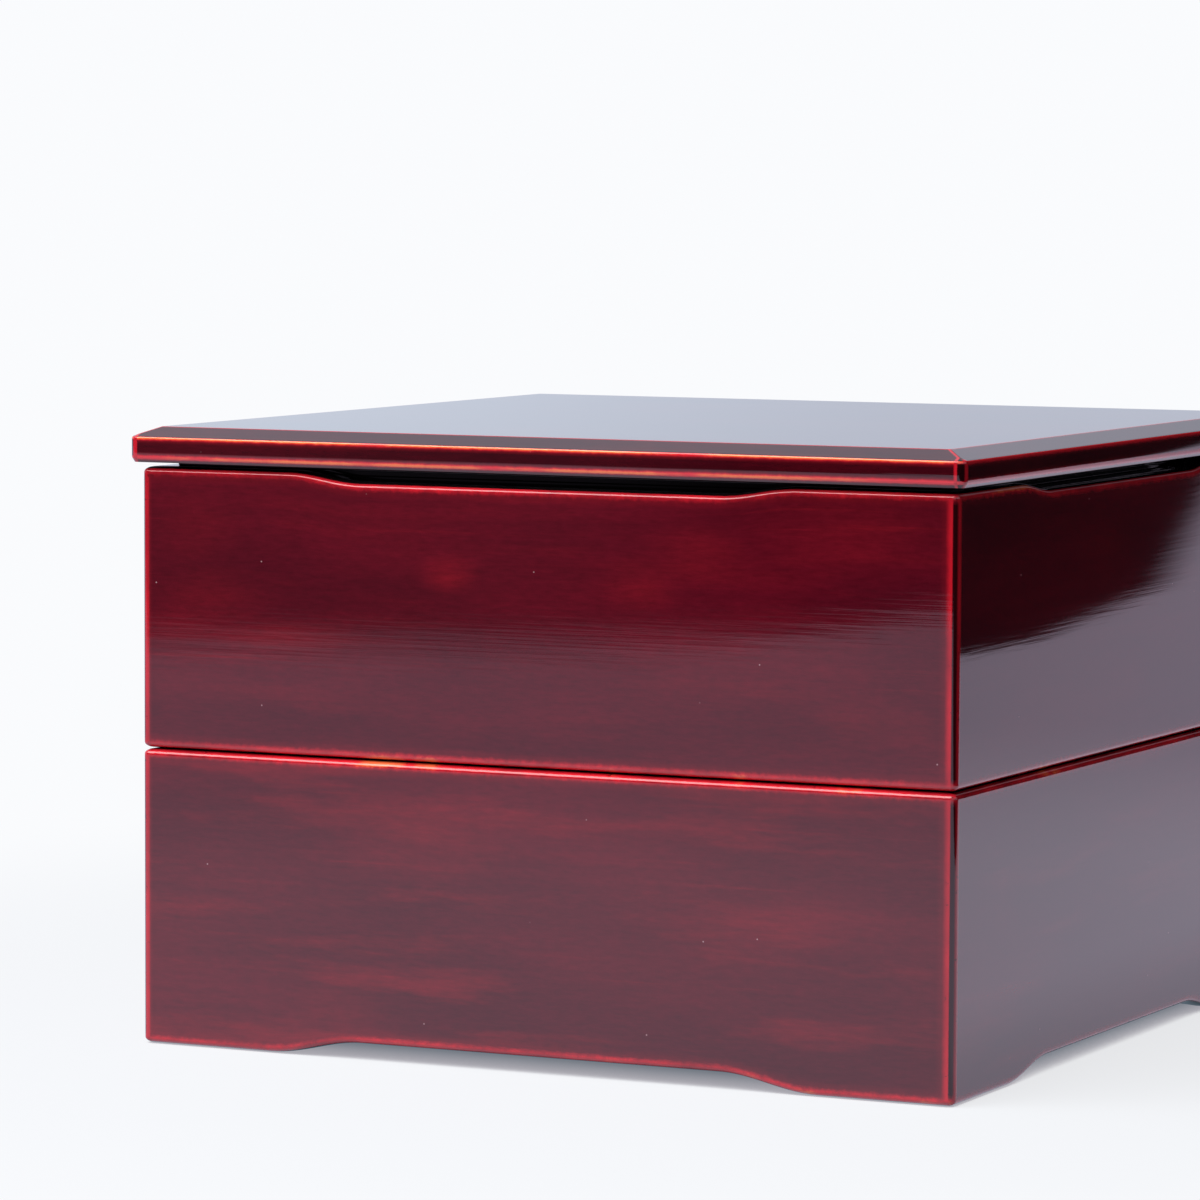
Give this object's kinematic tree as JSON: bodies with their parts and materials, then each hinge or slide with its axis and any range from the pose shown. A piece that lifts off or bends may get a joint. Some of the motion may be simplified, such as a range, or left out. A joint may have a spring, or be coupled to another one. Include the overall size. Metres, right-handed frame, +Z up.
{
  "type": "stacking lacquer box",
  "caption": "Square stacking lacquer box: feet-cut lower tier, upper tier with finger scoops in its rim, and a flat bevelled lid, each lifting straight off.",
  "frame": {"origin": "middle of the base, on the plane that the four corner feet stand on", "axes": "+Z up through the stack, front side towards -Y, right side towards +X"},
  "size_m": [0.1992, 0.1992, 0.1375],
  "materials": {
    "red_lacquer": "glossy translucent wine-red lacquer over wood",
    "black_lacquer": "glossy black lacquer over wood",
    "bare_wood": "bare planed wood"
  },
  "bodies": {
    "lower_tier": {"lower_wall_front": "red_lacquer", "lower_wall_right": "red_lacquer", "lower_wall_back": "red_lacquer", "lower_wall_left": "red_lacquer", "lower_bottom": "black_lacquer", "lower_splines": "bare_wood"},
    "upper_tier": {"upper_wall_front": "red_lacquer", "upper_wall_right": "red_lacquer", "upper_wall_back": "red_lacquer", "upper_wall_left": "red_lacquer", "upper_bottom": "black_lacquer", "upper_splines": "bare_wood", "upper_step_front": "black_lacquer", "upper_step_right": "black_lacquer", "upper_step_back": "black_lacquer", "upper_step_left": "black_lacquer"},
    "lid": {"lid_panel": "red_lacquer", "lid_rim_front": "black_lacquer", "lid_rim_right": "black_lacquer", "lid_rim_back": "black_lacquer", "lid_rim_left": "black_lacquer"}
  },
  "joints": [
    {"name": "tier_lift", "type": "slide", "parent": "lower_tier", "child": "upper_tier", "axis": [0, 0, 1], "range_m": [0, 0.1]},
    {"name": "lid_lift", "type": "slide", "parent": "upper_tier", "child": "lid", "axis": [0, 0, 1], "range_m": [0, 0.08]}
  ]
}
